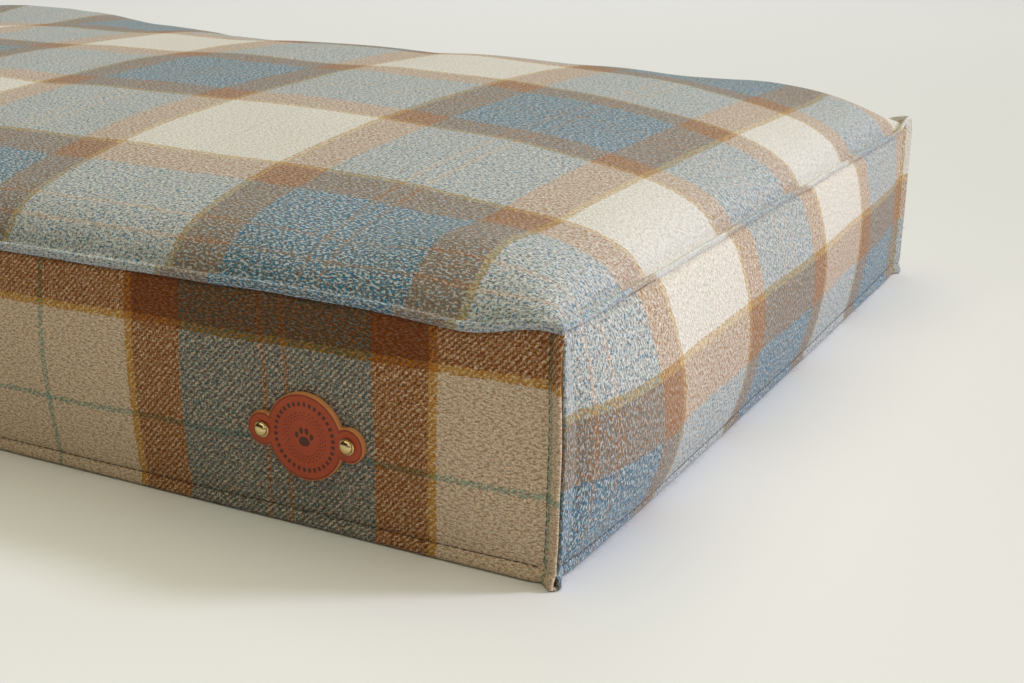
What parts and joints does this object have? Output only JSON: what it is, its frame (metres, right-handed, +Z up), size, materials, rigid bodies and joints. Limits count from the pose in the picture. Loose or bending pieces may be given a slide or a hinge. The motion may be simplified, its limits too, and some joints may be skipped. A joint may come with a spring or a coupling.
{
  "type": "pet cushion bed",
  "caption": "Boxed rectangular pet cushion with a crowned tartan wool cover, a zip along the back, a riveted leather tag and an inner fibre-filled pad.",
  "frame": {"origin": "middle of the base, on the floor", "axes": "+X along the bed's length to the end nearest the tag, +Y from the tagged front wall to the zipped back wall, +Z up"},
  "size_m": [1.0526, 0.5756, 0.16],
  "materials": {
    "wool_tartan": "brushed wool twill, tartan of cream, blue and brown",
    "base_canvas": "plain cotton canvas",
    "casing_cotton": "plain cotton",
    "fibre": "loose polyester fibre",
    "leather": "smooth vegetable-tanned leather with raw edges",
    "brass": "polished",
    "zip_tape": "woven polyester tape",
    "zip_teeth": "nylon coil"
  },
  "bodies": {
    "cover": {"top_panel": "wool_tartan", "front_wall": "wool_tartan", "right_wall": "wool_tartan", "left_wall": "wool_tartan", "back_wall_lower": "wool_tartan", "back_wall_upper": "wool_tartan", "base_panel": "base_canvas", "zip_tape_upper": "zip_tape", "zip_tape_lower": "zip_tape", "zip_teeth_upper": "zip_teeth", "zip_teeth_lower": "zip_teeth", "zip_bottom_stop": "brass", "zip_top_stop_upper": "brass", "zip_top_stop_lower": "brass", "rivet_cap_left": "brass", "rivet_cap_right": "brass", "rivet_post_left": "brass", "rivet_post_right": "brass", "leather_tag": "leather", "casing_top": "casing_cotton", "casing_wall": "casing_cotton", "casing_base": "casing_cotton", "fibre_filling": "fibre"},
    "slider": {"zip_slider": "brass"},
    "pull": {"zip_pull": "brass"}
  },
  "joints": [
    {"name": "zip_slide", "type": "slide", "parent": "cover", "child": "slider", "axis": [-1, 0, 0], "range_m": [0, 0.889]},
    {"name": "pull_swing", "type": "hinge", "parent": "slider", "child": "pull", "pos_m": [0.4447, 0.28505, 0.045], "axis": [0, 0, 1], "range_deg": [0, 180]}
  ]
}
